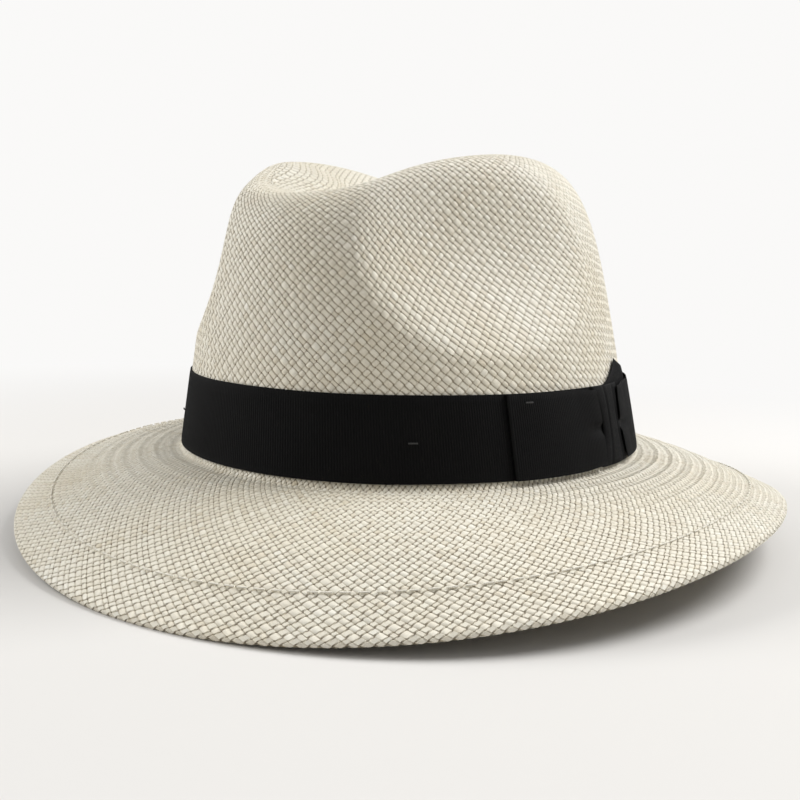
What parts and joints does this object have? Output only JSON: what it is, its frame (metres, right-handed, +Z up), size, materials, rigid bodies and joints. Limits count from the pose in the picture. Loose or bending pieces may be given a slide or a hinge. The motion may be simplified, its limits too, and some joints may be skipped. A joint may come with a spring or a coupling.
{
  "type": "panama hat",
  "caption": "Woven straw hat with a creased crown, drooping brim, black grosgrain band with a flat side bow, and an inner leather sweatband.",
  "frame": {"origin": "centre of the hat's bounding box, on the surface that the edge of the brim stands on", "axes": "+Z up towards the crown, -Y towards the front of the hat, +X towards the wearer's left, where the bow is"},
  "size_m": [0.284, 0.3156, 0.1394],
  "materials": {
    "straw": "hand-woven bleached toquilla straw",
    "straw_thread": "twisted cotton thread",
    "grosgrain": "ribbed rayon ribbon",
    "black_thread": "twisted cotton thread",
    "sweatband_leather": "smooth roan leather",
    "seam_tape": "narrow woven tape",
    "tag_cloth": "bare woven cotton tape"
  },
  "bodies": {
    "root": {"crown": "straw", "brim": "straw", "hem_stitching": "straw_thread", "ribbon_band": "grosgrain", "bow_front_loop": "grosgrain", "bow_knot": "grosgrain", "bow_rear_loop": "grosgrain", "bow_tail": "grosgrain", "tack_stitches": "black_thread", "sweatband": "sweatband_leather", "sweatband_reed": "sweatband_leather", "sweatband_seam_tape": "seam_tape", "sweatband_stitching": "straw_thread", "size_tag": "tag_cloth"}
  },
  "joints": []
}
